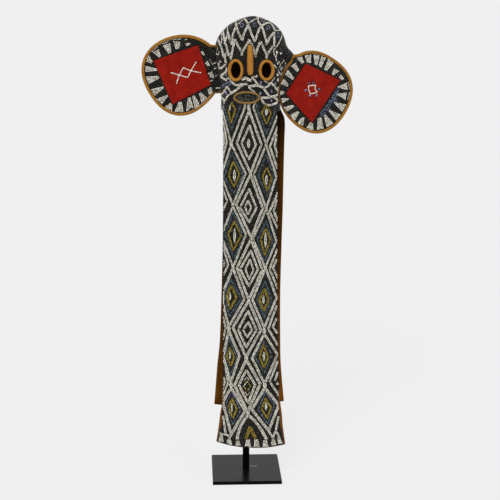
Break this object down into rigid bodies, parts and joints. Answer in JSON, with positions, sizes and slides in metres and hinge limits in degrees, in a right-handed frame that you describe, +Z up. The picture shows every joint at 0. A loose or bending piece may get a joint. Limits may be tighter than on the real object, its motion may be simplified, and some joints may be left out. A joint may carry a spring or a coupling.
{
  "type": "beaded elephant mask on a display stand",
  "caption": "Beaded cloth elephant mask: hollow hood, round ears, long trunk panel and back panel, carried by a post on a square steel base",
  "frame": {"origin": "centre of the underside of the base plate", "axes": "+Z is up along the post, the mask faces -Y, +X is to the viewer's right"},
  "size_m": [0.6716, 0.2441, 1.5255],
  "materials": {
    "stand_steel": "blackened steel, satin",
    "pad_felt": "black felt over foam",
    "beaded_cloth": "indigo-black cloth sewn all over with glass beads",
    "brown_cloth": "plain brown woven cloth, matte",
    "ochre_cloth": "golden ochre woven cloth, stuffed rolls",
    "red_cloth": "red felted trade cloth, matte"
  },
  "bodies": {
    "root": {"base_plate": "stand_steel", "post": "stand_steel", "crown_pad": "pad_felt", "hood": "beaded_cloth", "trunk_panel": "beaded_cloth", "back_panel": "brown_cloth", "ear_left": "beaded_cloth", "ear_right": "beaded_cloth", "ear_left_binding": "brown_cloth", "ear_right_binding": "brown_cloth", "ear_left_patch": "red_cloth", "ear_right_patch": "red_cloth", "eye_ring_left": "ochre_cloth", "eye_ring_right": "ochre_cloth", "mouth_ring": "ochre_cloth", "nose": "ochre_cloth"}
  },
  "joints": []
}
